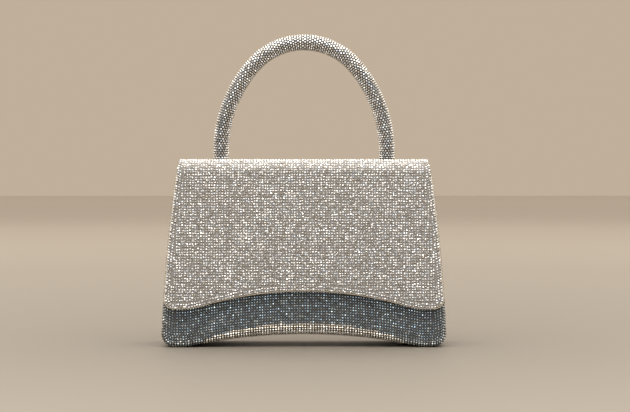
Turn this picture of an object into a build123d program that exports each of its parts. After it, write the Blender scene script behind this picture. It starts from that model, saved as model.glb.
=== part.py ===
"""Structured crystal clutch purse with a top handle, all sizes in millimetres.

The bag stands on the two ends of its arched base and faces -Y.  Every wall is a
sandwich of crystal fabric, stiff board and lining.  One wrap of the same sandwich
closes the mouth: it starts at the rear rim, crosses the top as the lid that carries
the handle, bends over the front rim and hangs down the front as the flap.
"""
from build123d import *
from math import atan2, cos, degrees, radians, sin
import os

# ---- driving dimensions -------------------------------------------------------------
height = 127.0                # floor to the top of the lid
half_width_top = 85.7         # body, level with the top of the lid
half_width_middle = 92.4      # body, at middle_z: the side walls bow outwards
middle_z = 70.0
half_width_foot = 96.4        # body, just above the rounded bottom corner
corner_radius = 9.4           # bottom corners of the front view
foot_inner_x = 79.0           # where the flat foot ends and the arch starts
arch_rise = 8.2               # underside above the floor at mid width
arch_blend = 25.0             # rounding where foot and arch meet
half_depth_foot = 25.5        # body, at the floor
half_depth_top = 18.5         # body, level with the top of the lid
panel_edge_radius = 4.5       # front and back panels turn into the sides and base

skin_thickness = 2.0          # crystal fabric
board_thickness = 2.0
lining_thickness = 0.8
glue_gap = 0.1
seam_gap = 0.1

flap_gap = 0.5                # between the flap's lining and the body
flap_inset = 1.0              # the flap is narrower than the body on each side
flap_arch_z = 38.0            # flap edge at mid width
flap_lobe_x, flap_lobe_z = 84.0, 26.0
flap_lobe_radius = 60.0
flap_corner_radius = 6.5
bend_radius = 9.0             # outer radius of the wrap at the front and rear rims
bend_clearance = 0.6          # between a bend strip and the stiff panel beside it
binding_width = 0.8

rim_binding_depth = 6.0
rim_binding_inset = 0.6

handle_half_span = 56.8
handle_rise = 80.0            # lid to the centre of the tube at mid width
handle_top_radius = 46.0
handle_straight = 5.0
handle_radius = 5.5
core_radius, core_bore_radius = 3.5, 2.5

snap_z = 54.0
snap_radius = 9.0

gusset_seam_x, gusset_seam_z = 80.0, 10.5
smallest_rounding = 0.3
run_on = 12.0                 # how far the outlines run on above the lid, before they are cut

# ---- derived dimensions --------------------------------------------------------------
flap_stack = skin_thickness + board_thickness + lining_thickness + 2 * glue_gap
slope = (half_depth_foot - half_depth_top) / height
lean = degrees(atan2(half_depth_foot - half_depth_top, height))
reach = 150.0                 # half size of the solids that cut the zones out
flap_front_depth = half_depth_foot - slope * flap_lobe_z + flap_stack + flap_gap
back_depth = half_depth_foot - slope * panel_edge_radius
body_mid_y = (flap_front_depth - back_depth) / 2      # centres the whole bag on Y = 0

skin_layer = (0.0, skin_thickness)
board_layer = (skin_layer[1] + glue_gap, skin_layer[1] + glue_gap + board_thickness)
lining_layer = (board_layer[1] + glue_gap, flap_stack)
bend_lining_layer = (board_layer[0], board_layer[0] + lining_thickness)

# The arch of the flap's edge is one arc, tangent to the arc of each lobe.
flap_edge_drop = flap_arch_z - flap_lobe_z
flap_radii = (flap_lobe_x**2 + flap_edge_drop**2) / (2 * flap_edge_drop)
flap_arch_radius = flap_radii - flap_lobe_radius
flap_arc_angle = degrees(atan2(flap_lobe_x, flap_radii - flap_edge_drop))
arch_centre_z = flap_arch_z - flap_arch_radius
lobe_centre_z = flap_lobe_z + flap_lobe_radius

rim_z = height - flap_stack - flap_gap                # top of the body's mouth
bend_z = height - bend_radius
back_bend_y = body_mid_y + half_depth_foot - slope * bend_z - bend_radius
front_bend_y = body_mid_y - half_depth_foot + slope * bend_z - flap_stack - flap_gap + bend_radius
hinge_offset = 0.75 * bend_radius     # keeps the skin's length the same as it straightens
hinge_z = bend_z + hinge_offset
handle_y = (front_bend_y + back_bend_y) / 2


def front_y(z, out=0.0):
    """Y of the body's front face at height z, moved out by a horizontal distance."""
    return body_mid_y - half_depth_foot + slope * z - out


def back_y(z, out=0.0):
    """Y of the body's back face at height z, moved out by a horizontal distance."""
    return body_mid_y + half_depth_foot - slope * z + out


def slab_between(front, back, low=-reach, high=reach):
    """Solid between two leaning planes, each given as a function from Z to Y."""
    with BuildPart() as slab:
        with BuildSketch(Plane.YZ):
            with BuildLine():
                Polyline((front(low), low), (back(low), low), (back(high), high), (front(high), high), close=True)
            make_face()
        extrude(amount=reach, both=True)
    return slab.part


def block(low_corner, high_corner):
    """Box between two opposite corners."""
    size = [high - low for low, high in zip(low_corner, high_corner)]
    with BuildPart() as box:
        with Locations(low_corner):
            Box(*size, align=(Align.MIN, Align.MIN, Align.MIN))
    return box.part


def disc(plane, radius, low, high):
    """Cylinder about the plane's normal, between two offsets from the plane."""
    with BuildPart() as cylinder:
        with BuildSketch(plane.offset(low)):
            Circle(radius)
        extrude(amount=high - low)
    return cylinder.part


def body_outline():
    """Front view of the body, running on above the lid's top."""
    with BuildSketch() as outline:
        with BuildLine():
            side = ThreePointArc(
                (half_width_top, height), (half_width_middle, middle_z), (half_width_foot, corner_radius)
            )
            top = side @ 0 - (side % 0) * run_on
            Line(top, side @ 0)
            Polyline(side @ 1, (half_width_foot, 0), (foot_inner_x, 0))
            ThreePointArc((foot_inner_x, 0), (0, arch_rise), (-foot_inner_x, 0))
            Polyline((-foot_inner_x, 0), (-half_width_foot, 0), (-half_width_foot, corner_radius))
            ThreePointArc(
                (-half_width_foot, corner_radius), (-half_width_middle, middle_z), (-half_width_top, height)
            )
            Polyline((-half_width_top, height), (-top.X, top.Y), (top.X, top.Y))
        make_face()
        on_floor = outline.vertices().filter_by(lambda v: abs(v.Y) < 0.01)
        fillet(on_floor.filter_by(lambda v: abs(v.X) > half_width_foot - 1), corner_radius - 0.5)
        fillet(on_floor.filter_by(lambda v: abs(v.X) < half_width_foot - 1), arch_blend)
    return outline.sketch


def flap_outline(inset):
    """Front view of the flap, inset from its outer edge and running on above the lid's top."""
    with BuildSketch() as above_edge:
        with BuildLine():
            left = CenterArc((-flap_lobe_x, lobe_centre_z), flap_lobe_radius, 270, flap_arc_angle)
            CenterArc((0, arch_centre_z), flap_arch_radius, 90 - flap_arc_angle, 2 * flap_arc_angle)
            right = CenterArc(
                (flap_lobe_x, lobe_centre_z), flap_lobe_radius, 270 - flap_arc_angle, flap_arc_angle
            )
            Polyline(right @ 1, (reach, flap_lobe_z), (reach, reach), (-reach, reach))
            Polyline((-reach, reach), (-reach, flap_lobe_z), left @ 0)
        make_face()
    with BuildSketch() as outline:
        add(body_outline())
        offset(amount=-flap_inset)
        add(above_edge.sketch, mode=Mode.INTERSECT)
        corners = outline.vertices().filter_by(
            lambda v: abs(v.Y - flap_lobe_z) < 0.01 and abs(v.X) > flap_lobe_x + 1
        )
        fillet(corners, flap_corner_radius)
        if inset > 0:
            offset(amount=-inset)
    return outline.sketch


def body_form(inset):
    """Body as a solid block, its faces inset from the outer ones; it runs on above the rim.

    Only the crystal skin is rounded where the panels turn into the sides and the base: the
    boards and the lining inside it have square edges.
    """
    with BuildPart() as form:
        with BuildSketch(Plane.XZ):
            add(body_outline())
            if inset > 0:
                offset(amount=-inset)
        extrude(amount=reach, both=True)
        add(
            slab_between(lambda z: front_y(z, -inset), lambda z: back_y(z, -inset)),
            mode=Mode.INTERSECT,
        )
        if inset < skin_thickness:
            panels = form.faces().sort_by(Axis.Y)
            edges = panels[0].edges().sort_by(Axis.Z)[:-1] + panels[-1].edges().sort_by(Axis.Z)[:-1]
            fillet(edges, panel_edge_radius - inset)
    return form.part


def flap_form(inset):
    """Flap's outline as a block from front to back, inset from its outer edge."""
    with BuildPart() as form:
        with BuildSketch(Plane.XZ):
            add(flap_outline(inset))
        extrude(amount=reach, both=True)
    return form.part


def wrap_form(depth):
    """Block under the wrap of flap, lid and rear rim, at a depth below its outer surface."""
    front_out = flap_stack + flap_gap - depth
    with BuildPart() as form:
        with BuildSketch(Plane.YZ) as profile:
            with BuildLine():
                Polyline(
                    (front_y(-reach, front_out), -reach),
                    (back_y(-reach, -depth), -reach),
                    (back_y(height - depth, -depth), height - depth),
                    (front_y(height - depth, front_out), height - depth),
                    close=True,
                )
            make_face()
            if bend_radius - depth > smallest_rounding:
                fillet(profile.vertices().sort_by(Axis.Y)[-2:], bend_radius - depth)
        extrude(amount=reach, both=True)
    return form.part


def write(name, part):
    """Label a finished piece and write its STEP file."""
    part.label = name
    export_step(part, f"parts/{name}.step")


os.makedirs("parts", exist_ok=True)

# ---- zones that split the shells into their pieces -------------------------------------
outside = 30.0
panel_seam = flap_stack + seam_gap
front_zone = slab_between(lambda z: front_y(z, outside), lambda z: front_y(z, -panel_seam))
back_zone = slab_between(lambda z: back_y(z, -panel_seam), lambda z: back_y(z, outside))
middle_zone = slab_between(
    lambda z: front_y(z, -panel_seam - seam_gap), lambda z: back_y(z, -panel_seam - seam_gap)
)
right_gusset_zone = middle_zone & block((gusset_seam_x, -reach, gusset_seam_z), (reach, reach, reach))
left_gusset_zone = middle_zone & block((-reach, -reach, gusset_seam_z), (-gusset_seam_x, reach, reach))
base_top = gusset_seam_z - seam_gap
base_half = gusset_seam_x - seam_gap
base_zone = middle_zone & (
    block((-reach, -reach, -reach), (reach, reach, base_top))
    + block((-base_half, -reach, -reach), (base_half, reach, half_width_top / 2))
)
wall_zones = {
    "front": front_zone,
    "back": back_zone,
    "left_gusset": left_gusset_zone,
    "right_gusset": right_gusset_zone,
    "base": base_zone,
}
skin_top = block((-reach, -reach, -reach), (reach, reach, rim_z - rim_binding_depth - seam_gap))
core_top = block((-reach, -reach, -reach), (reach, reach, rim_z - lining_thickness - seam_gap))
hinge_top = block((-reach, -reach, -reach), (reach, reach, bend_z - seam_gap))

lid_zone = block(
    (-reach, front_bend_y + seam_gap, bend_z - bend_radius),
    (reach, back_bend_y - bend_clearance, reach),
)
rear_bend_zone = block((-reach, back_bend_y, bend_z), (reach, reach, reach))
front_bend_zone = block((-reach, -reach, bend_z), (reach, front_bend_y, reach))
flap_zone = block((-reach, -reach, -reach), (reach, front_bend_y, bend_z - bend_clearance))

# ---- magnetic snap: offsets along snap_plane's normal count outwards from the body ------
snap_plane = Plane(
    origin=(0, front_y(snap_z), snap_z),
    x_dir=(1, 0, 0),
    z_dir=(0, -cos(radians(lean)), sin(radians(lean))),
)
socket_face, socket_back = 0.2, -2.75
socket_base_back = -3.2
socket_mouth_radius = 4.2
cap_wall = 0.5
prong_x = 4.0
prong_size = (0.6, 2.5)
prong_fold = 3.6
fold_thickness = 0.4
stud_face = 0.45
stud_back = 1.5
stud_boss_radius, stud_boss_tip = 3.2, -1.0
snap_clearance = 0.2


def prongs(root, tip):
    """Two flat prongs that pass through a board and are folded outwards behind it."""
    outward = 1 if tip > root else -1
    with BuildPart() as pair:
        for side in (-1, 1):
            with BuildSketch(snap_plane.offset(root)):
                with Locations((side * prong_x, 0)):
                    Rectangle(*prong_size)
            extrude(amount=tip - root)
            with BuildSketch(snap_plane.offset(tip - outward * fold_thickness)):
                with Locations((side * (prong_x + prong_fold / 2), 0)):
                    Rectangle(prong_fold, prong_size[1])
            extrude(amount=outward * fold_thickness)
    return pair.part


def prong_slots(low, high):
    """Clearance slots for the prongs where they pass through a board."""
    with BuildPart() as slots:
        with BuildSketch(snap_plane.offset(low)):
            with Locations((-prong_x, 0), (prong_x, 0)):
                Rectangle(prong_size[0] + 2 * snap_clearance, prong_size[1] + 2 * snap_clearance)
        extrude(amount=high - low)
    return slots.part


def prong_recess(low, high):
    """Shallow pocket in the layer that covers the folded prongs."""
    with BuildPart() as recess:
        with BuildSketch(snap_plane.offset(low)):
            Rectangle(2 * (prong_x + prong_fold + snap_clearance), prong_size[1] + 2 * snap_clearance)
        extrude(amount=high - low)
    return recess.part


front_board_outer, front_board_inner = -board_layer[0], -board_layer[1]
flap_lining_inner = flap_gap
flap_board_inner = flap_gap + lining_thickness + glue_gap
flap_board_outer = flap_board_inner + board_thickness
socket_prong_tip = front_board_inner - glue_gap - fold_thickness
stud_prong_tip = flap_board_outer + glue_gap + fold_thickness
pocket_radius = snap_radius + snap_clearance
cutouts = {
    "front_crystal_skin": [disc(snap_plane, pocket_radius, -board_layer[0] - 1, 1)],
    "front_board": [
        disc(snap_plane, pocket_radius, socket_base_back - snap_clearance, 1),
        prong_slots(front_board_inner - 1, 0),
    ],
    "front_lining": [prong_recess(socket_prong_tip - glue_gap, 0)],
    "flap_lining": [disc(snap_plane, pocket_radius, -1, flap_board_inner)],
    "flap_board": [disc(snap_plane, pocket_radius, 0, stud_back + snap_clearance), prong_slots(0, 6)],
    "flap_crystal_skin": [prong_recess(0, stud_prong_tip + glue_gap)],
}

# ---- body walls ------------------------------------------------------------------------
layers = {"crystal_skin": skin_layer, "board": board_layer, "lining": lining_layer}
for layer, (outer, inner) in layers.items():
    outer_form = body_form(outer)
    inner_form = body_form(inner)
    for wall, zone in wall_zones.items():
        name = f"{wall}_{layer}"
        if wall == "back":
            top = hinge_top
        else:
            top = skin_top if layer == "crystal_skin" else core_top
        with BuildPart() as wall_piece:
            add(outer_form)
            add(inner_form, mode=Mode.SUBTRACT)
            add(zone, mode=Mode.INTERSECT)
            add(top, mode=Mode.INTERSECT)
            for cutout in cutouts.get(name, []):
                add(cutout, mode=Mode.SUBTRACT)
        write(name, wall_piece.part)

# Leather folded over the rim of the front and the two sides
rim_fold = rim_z - lining_thickness
with BuildPart() as rim_binding:
    add(body_form(rim_binding_inset))
    add(body_form(flap_stack + lining_thickness), mode=Mode.SUBTRACT)
    add(
        (body_form(skin_thickness + glue_gap / 2) - body_form(flap_stack + glue_gap / 2))
        & block((-reach, -reach, 0), (reach, reach, rim_fold)),
        mode=Mode.SUBTRACT,
    )
    add(
        slab_between(lambda z: front_y(z, outside), lambda z: back_y(z, -panel_seam - seam_gap))
        & block((-reach, -reach, rim_z - rim_binding_depth), (reach, reach, rim_z)),
        mode=Mode.INTERSECT,
    )
write("rim_binding", rim_binding.part)

# Flat card pocket sewn to the back lining on three sides
pocket_width, pocket_height, pocket_low = 112.0, 62.0, 34.0
pocket_sheet, pocket_room, pocket_hem = 0.8, 1.6, 3.0
pocket_plane = Plane(
    origin=(0, back_y(pocket_low, -flap_stack - glue_gap), pocket_low),
    x_dir=(1, 0, 0),
    z_dir=(0, -cos(radians(lean)), -sin(radians(lean))),
)
with BuildPart() as slip_pocket:
    with BuildSketch(pocket_plane):
        with Locations((0, pocket_height / 2)):
            RectangleRounded(pocket_width, pocket_height, pocket_hem)
    extrude(amount=pocket_sheet + pocket_room)
    with BuildSketch(pocket_plane):
        with Locations((0, pocket_height / 2 + pocket_hem)):
            Rectangle(pocket_width - 2 * pocket_hem, pocket_height)
    extrude(amount=pocket_room, mode=Mode.SUBTRACT)
write("slip_pocket", slip_pocket.part)

# ---- wrap: rear bend, lid, front bend and flap ------------------------------------------
stack_form = flap_form(binding_width + glue_gap)
wrap_pieces = {
    "rear_bend_crystal_skin": (rear_bend_zone, skin_layer),
    "rear_bend_lining": (rear_bend_zone, bend_lining_layer),
    "lid_crystal_skin": (lid_zone, skin_layer),
    "lid_board": (lid_zone, board_layer),
    "lid_lining": (lid_zone, lining_layer),
    "front_bend_crystal_skin": (front_bend_zone, skin_layer),
    "front_bend_lining": (front_bend_zone, bend_lining_layer),
    "flap_crystal_skin": (flap_zone, skin_layer),
    "flap_board": (flap_zone, board_layer),
    "flap_lining": (flap_zone, lining_layer),
}
screw_radius, screw_hole_radius = 1.5, 1.7
washer_radius, washer_thickness = 4.5, 0.7
leg_plane = Plane(origin=(0, handle_y, height))
lid_layer_holes = {
    "lid_crystal_skin": core_radius + snap_clearance,
    "lid_board": screw_hole_radius,
    "lid_lining": washer_radius + snap_clearance,
}
for name, (zone, (outer, inner)) in wrap_pieces.items():
    with BuildPart() as wrap_piece:
        add(wrap_form(outer))
        add(wrap_form(inner), mode=Mode.SUBTRACT)
        add(zone, mode=Mode.INTERSECT)
        add(stack_form, mode=Mode.INTERSECT)
        for cutout in cutouts.get(name, []):
            add(cutout, mode=Mode.SUBTRACT)
        if name in lid_layer_holes:
            with Locations((-handle_half_span, handle_y, height), (handle_half_span, handle_y, height)):
                Hole(lid_layer_holes[name])
    write(name, wrap_piece.part)

# Metallic piping strip round the edges of the flap and along the two ends of the lid
edge_ring = (flap_form(0) - flap_form(binding_width)) & (
    wrap_form(skin_layer[0] + seam_gap) - wrap_form(flap_stack - seam_gap)
)
for name, zone in {"flap_edge_binding": flap_zone, "lid_edge_binding": lid_zone}.items():
    with BuildPart() as edge_binding:
        add(edge_ring)
        add(zone, mode=Mode.INTERSECT)
    write(name, edge_binding.part)

# ---- magnetic snap ----------------------------------------------------------------------
with BuildPart() as snap_socket_cap:
    add(disc(snap_plane, snap_radius, socket_back, socket_face))
    add(disc(snap_plane, snap_radius - cap_wall, socket_back, socket_face - cap_wall), mode=Mode.SUBTRACT)
    add(disc(snap_plane, socket_mouth_radius, socket_back, socket_face), mode=Mode.SUBTRACT)
write("snap_socket_cap", snap_socket_cap.part)

magnet_clearance = 0.05
with BuildPart() as snap_magnet:
    magnet_front = socket_face - cap_wall - magnet_clearance
    add(disc(snap_plane, snap_radius - cap_wall - magnet_clearance, socket_back + 0.1, magnet_front))
    add(disc(snap_plane, socket_mouth_radius, socket_back, magnet_front), mode=Mode.SUBTRACT)
write("snap_magnet", snap_magnet.part)

with BuildPart() as snap_socket_base:
    add(disc(snap_plane, snap_radius, socket_base_back, socket_back - magnet_clearance))
    add(prongs(socket_base_back, socket_prong_tip))
write("snap_socket_base", snap_socket_base.part)

with BuildPart() as snap_stud:
    add(disc(snap_plane, snap_radius, stud_face, stud_back))
    add(disc(snap_plane, stud_boss_radius, stud_boss_tip, stud_face))
    boss_tip = snap_stud.edges().filter_by(GeomType.CIRCLE).sort_by(Axis.Y)[-1]
    fillet(boss_tip, 1.0)
    add(prongs(stud_back, stud_prong_tip))
write("snap_stud", snap_stud.part)

# ---- handle -----------------------------------------------------------------------------
# The path is a straight run, a wide arc, the round top and the same again, all tangent.
top_centre = handle_rise - handle_straight - handle_top_radius
leg_radius = (handle_half_span**2 + top_centre**2 - handle_top_radius**2) / (
    2 * (handle_half_span - handle_top_radius)
)
leg_centre = handle_half_span - leg_radius
leg_angle = degrees(atan2(top_centre, -leg_centre))


def handle_tube(name, outer_radius, inner_radius, low):
    """Tube along the handle's arch, its two ends cut level at a height above the lid."""
    handle_plane = Plane(origin=(0, handle_y, height + handle_straight), x_dir=(1, 0, 0), z_dir=(0, -1, 0))
    foot = low - handle_straight
    with BuildPart() as tube:
        with BuildLine(handle_plane) as path:
            Line((handle_half_span, foot), (handle_half_span, 0))
            CenterArc((leg_centre, 0), leg_radius, 0, leg_angle)
            CenterArc((0, top_centre), handle_top_radius, leg_angle, 180 - 2 * leg_angle)
            CenterArc((-leg_centre, 0), leg_radius, 180 - leg_angle, leg_angle)
            Line((-handle_half_span, 0), (-handle_half_span, foot))
        with BuildSketch(Plane(origin=(handle_half_span, handle_y, height + low))):
            Circle(outer_radius)
            Circle(inner_radius, mode=Mode.SUBTRACT)
        sweep(path=path.line)
    write(name, tube.part)


handle_tube("handle_crystal_sleeve", handle_radius, core_radius + glue_gap, glue_gap)
handle_tube("handle_core", core_radius, core_bore_radius, glue_gap - skin_thickness)

plug_length = 7.0
thread_clearance = 0.02
leg_places = [(-handle_half_span, 0), (handle_half_span, 0)]
with BuildPart() as handle_end_plugs:
    with BuildSketch(leg_plane.offset(glue_gap - skin_thickness)):
        with Locations(*leg_places):
            Circle(core_bore_radius - glue_gap)
            Circle(screw_radius + thread_clearance, mode=Mode.SUBTRACT)
    extrude(amount=plug_length)
write("handle_end_plugs", handle_end_plugs.part)

board_underside = -board_layer[1]
with BuildPart() as handle_washers:
    with BuildSketch(leg_plane.offset(board_underside - washer_thickness - glue_gap / 2)):
        with Locations(*leg_places):
            Circle(washer_radius)
            Circle(screw_hole_radius, mode=Mode.SUBTRACT)
    extrude(amount=washer_thickness)
write("handle_washers", handle_washers.part)

head_radius, head_height = 2.8, 1.5
head_top = board_underside - washer_thickness - glue_gap
with BuildPart() as handle_screws:
    with BuildSketch(leg_plane.offset(head_top)):
        with Locations(*leg_places):
            Circle(head_radius)
    extrude(amount=-head_height)
    fillet(handle_screws.edges().filter_by(GeomType.CIRCLE).group_by(Axis.Z)[0], head_height / 2)
    with BuildSketch(leg_plane.offset(head_top)):
        with Locations(*leg_places):
            Circle(screw_radius)
    extrude(amount=plug_length - skin_thickness - head_top - 1)
write("handle_screws", handle_screws.part)
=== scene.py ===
"""Looks of the crystal clutch purse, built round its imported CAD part.

Lengths are in millimetres and become metres where a mesh is made.  The bag faces -Y.
"""
from math import asin, atan2, cos, hypot, pi, radians, sin, sqrt

import bpy
import numpy as np
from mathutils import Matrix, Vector


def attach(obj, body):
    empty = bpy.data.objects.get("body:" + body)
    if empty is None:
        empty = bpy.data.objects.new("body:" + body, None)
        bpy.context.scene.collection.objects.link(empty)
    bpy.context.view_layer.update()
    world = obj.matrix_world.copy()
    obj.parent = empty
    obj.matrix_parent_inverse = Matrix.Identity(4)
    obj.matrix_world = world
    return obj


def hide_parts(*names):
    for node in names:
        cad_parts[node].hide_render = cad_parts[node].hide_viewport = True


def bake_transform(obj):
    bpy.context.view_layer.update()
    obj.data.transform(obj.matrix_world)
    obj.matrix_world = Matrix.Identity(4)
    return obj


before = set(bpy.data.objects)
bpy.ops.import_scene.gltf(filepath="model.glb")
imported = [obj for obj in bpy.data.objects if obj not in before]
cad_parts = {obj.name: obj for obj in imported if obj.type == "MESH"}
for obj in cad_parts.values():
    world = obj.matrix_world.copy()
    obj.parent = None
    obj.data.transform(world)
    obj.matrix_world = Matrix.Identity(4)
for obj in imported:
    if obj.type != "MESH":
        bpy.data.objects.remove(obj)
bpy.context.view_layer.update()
MM = 0.001

# ---- driving dimensions of the part ----
height = 127.0
half_width_top, half_width_middle, half_width_foot = 85.7, 92.4, 96.4
middle_z = 70.0
corner_radius, corner_fillet = 9.4, 8.9
foot_inner_x = 79.0
arch_rise, arch_blend = 8.2, 25.0
half_depth_foot, half_depth_top = 25.5, 18.5
panel_edge_radius = 4.5
flap_stack, flap_gap, flap_inset = 5.0, 0.5, 1.0
flap_arch_z = 38.0
flap_lobe_x, flap_lobe_z = 84.0, 26.0
flap_lobe_radius = 60.0
flap_corner_radius = 6.5
bend_radius, bend_clearance = 9.0, 0.6
binding_width = 0.8
seam = 0.1
edge_stack = binding_width + seam
lining_low, lining_high = 4.2, 5.0
bend_lining_low, bend_lining_high = 2.1, 2.9
rim_z = height - flap_stack - flap_gap
rim_binding_depth, rim_binding_inset = 6.0, 0.6
rim_fold = 0.8                # thickness of the binding over the boards' top
gusset_seam_x, gusset_seam_z = 80.0, 10.5
lining_edge, panel_seam = 4.3, 5.2      # linings' edges, in from the body's outline and faces
handle_half_span, handle_rise, handle_top_radius = 56.8, 80.0, 46.0
handle_straight, handle_radius, core_radius = 5.0, 5.5, 3.6
snap_z, snap_radius = 54.0, 9.0
pocket_width, pocket_height, pocket_low = 112.0, 62.0, 34.0
hole_gap, washer_hole_radius = 0.2, 4.7
stitch_length, stitch_gap, stitch_radius, stitch_inset = 2.4, 1.1, 0.22, 3.6

slope = (half_depth_foot - half_depth_top) / height
stretch = sqrt(1 + slope**2)
lean = atan2(half_depth_foot - half_depth_top, height)
flap_out = flap_stack + flap_gap
body_mid_y = (flap_out - slope * (flap_lobe_z - panel_edge_radius)) / 2
bend_z = height - bend_radius
front_bend_y = body_mid_y - half_depth_foot + slope * bend_z - flap_out + bend_radius
back_bend_y = body_mid_y + half_depth_foot - slope * bend_z - bend_radius
handle_y = (front_bend_y + back_bend_y) / 2

# ---- stones ----
stone_size = 1.68
stone_pitch = 1.8
stone_rise = 0.52
stone_sides = 8
table_face = 2 * stone_sides
table_share = 0.44            # table's width over the stone's width
cloth_depth, cloth_back = 0.47, 1.95    # mesh cloth's two faces, below the tips of the stones
edge_rows = (1.3, 3.08)       # flap's rows that follow its edge, from the edge
edge_gap = 1.5
rim_gap, back_gap, snap_gap = 1.0, 0.5, 1.3     # stones' clearances
leg_gap, flap_top_gap = 0.5, 0.4
arch_strip_half, arch_strip_height = 68.0, 8.4
turn_start = 8.2              # inset where the body's outermost rows start to follow its outline

# ---- fineness of the meshes ----
outline_step = 0.5
foot_step = 1.9               # columns of the panels' cloth, along their lower edge
wrap_columns = 90
lid_rows, bend_rows, flap_rows, panel_rows = 14, 15, 46, 56
turn_rows, band_rows = 13, 26
rim_side_steps, rim_corner_steps, rim_front_steps = 18, 9, 88
hole_sides = 72


# ---- outlines in the front view ----
def front_y(z):
    return body_mid_y - half_depth_foot + slope * z


def back_y(z):
    return body_mid_y + half_depth_foot - slope * z


def circle_through(a, b, c):
    """Centre and radius of the circle through three points."""
    system = np.array([[b[0] - a[0], b[1] - a[1]], [c[0] - a[0], c[1] - a[1]]])
    target = np.array([b[0] ** 2 + b[1] ** 2, c[0] ** 2 + c[1] ** 2]) - (a[0] ** 2 + a[1] ** 2)
    centre = np.linalg.solve(system, target / 2)
    return centre, hypot(a[0] - centre[0], a[1] - centre[1])


side_centre, side_radius = circle_through(
    (half_width_top, height), (half_width_middle, middle_z), (half_width_foot, corner_radius)
)


def half_width(z):
    """Half width of the body at height z."""
    z = np.maximum(z, corner_radius)
    return side_centre[0] + np.sqrt(side_radius**2 - (z - side_centre[1]) ** 2)


def arc(centre, radius, start, end, outward=1):
    """Rows of x, z and the outward direction along an arc from one angle to another."""
    count = max(3, int(abs(end - start) * radius / outline_step))
    angle = np.linspace(start, end, count)
    ray = np.stack([np.cos(angle), np.sin(angle)], axis=1)
    return np.hstack([np.asarray(centre) + radius * ray, outward * ray])


def straight(start, end, outward):
    """Rows of x, z and the outward direction along a straight run."""
    count = max(2, int(hypot(end[0] - start[0], end[1] - start[1]) / outline_step))
    points = np.linspace(start, end, count)
    return np.hstack([points, np.tile(outward, (count, 1))])


def side_run(low_angle, top, inset=0.0):
    """Side of the body from an angle about the side's centre up to a height."""
    top_angle = asin((top - side_centre[1]) / (side_radius - inset))
    return arc(side_centre, side_radius - inset, low_angle, top_angle)


def joined(runs):
    """Runs joined end to end, without the repeated points."""
    points = np.vstack(runs)
    moved = np.linalg.norm(np.diff(points[:, :2], axis=0), axis=1) > 1e-4
    return points[np.concatenate([[True], moved])]


def body_half_outline(top):
    """Right half of the body's outline, from the middle of the arch to a height on the side."""
    arch_radius = (foot_inner_x**2 + arch_rise**2) / (2 * arch_rise)
    arch_centre = (0.0, arch_rise - arch_radius)
    blend_x = sqrt((arch_radius + arch_blend) ** 2 - (arch_blend - arch_centre[1]) ** 2)
    meet = atan2(arch_blend - arch_centre[1], blend_x)
    corner_x = half_width_foot - corner_fillet
    low_angle = asin((corner_radius - side_centre[1]) / side_radius)
    return joined(
        [
            arc(arch_centre, arch_radius, pi / 2, meet, outward=-1),
            arc((blend_x, arch_blend), arch_blend, meet - pi, -pi / 2),
            straight((blend_x, 0), (corner_x, 0), (0, -1)),
            arc((corner_x, corner_fillet), corner_fillet, -pi / 2, 0),
            side_run(low_angle, top),
        ]
    )


def flap_half_outline(top):
    """Right half of the flap's outline, from mid width to a height on its side."""
    drop = flap_arch_z - flap_lobe_z
    radii = (flap_lobe_x**2 + drop**2) / (2 * drop)
    arch_radius = radii - flap_lobe_radius
    turn = atan2(flap_lobe_x, radii - drop)
    lobe_centre = (flap_lobe_x, flap_lobe_z + flap_lobe_radius)
    corner_z = flap_lobe_z + flap_corner_radius
    reach = side_radius - flap_inset - flap_corner_radius
    corner_angle = asin((corner_z - side_centre[1]) / reach)
    corner_x = side_centre[0] + reach * cos(corner_angle)
    return joined(
        [
            arc((0, flap_arch_z - arch_radius), arch_radius, pi / 2, pi / 2 - turn, outward=-1),
            arc(lobe_centre, flap_lobe_radius, -pi / 2 - turn, -pi / 2),
            straight((flap_lobe_x, flap_lobe_z), (corner_x, flap_lobe_z), (0, -1)),
            arc((corner_x, corner_z), flap_corner_radius, -pi / 2, corner_angle),
            side_run(corner_angle, top, inset=flap_inset),
        ]
    )


# ---- the wrap: s runs up the flap, over the lid and down the back ----
tangent_z = bend_z + bend_radius * sin(lean)
bend_length = bend_radius * (pi / 2 - lean)
s_flap_top = tangent_z * stretch
s_lid_front = s_flap_top + bend_length
s_lid_back = s_lid_front + back_bend_y - front_bend_y
s_back_top = s_lid_back + bend_length


def wrap_profile(s):
    """Y, Z of the wrap's outer face and its outward direction, for an array of s."""
    s = np.asarray(s, float)
    front_turn = np.clip((s - s_flap_top) / bend_radius, 0, bend_length / bend_radius) + lean
    back_turn = np.clip((s - s_lid_back) / bend_radius, 0, bend_length / bend_radius)
    over_front = s < (s_lid_front + s_lid_back) / 2
    out_y = np.where(over_front, -np.cos(front_turn), np.sin(back_turn))
    out_z = np.where(over_front, np.sin(front_turn), np.cos(back_turn))
    centre_y = np.where(over_front, front_bend_y, back_bend_y)
    y = centre_y + bend_radius * out_y
    z = bend_z + bend_radius * out_z
    below_flap = np.minimum(s - s_flap_top, 0)
    below_back = np.minimum(s_back_top - s, 0)
    y = np.where((s > s_lid_front) & (s < s_lid_back), front_bend_y + s - s_lid_front, y)
    y = y + below_flap * sin(lean) - below_back * sin(lean)
    z = z + below_flap * cos(lean) + below_back * cos(lean)
    return y, z, out_y, out_z


def wrap_surface(x, s):
    """Points and outward directions on the wrap's outer face."""
    y, z, out_y, out_z = wrap_profile(s)
    x = np.asarray(x, float) + 0 * y
    points = np.stack([x, y, z], axis=-1)
    return points, np.stack([0 * x, out_y, out_z], axis=-1)


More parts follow.
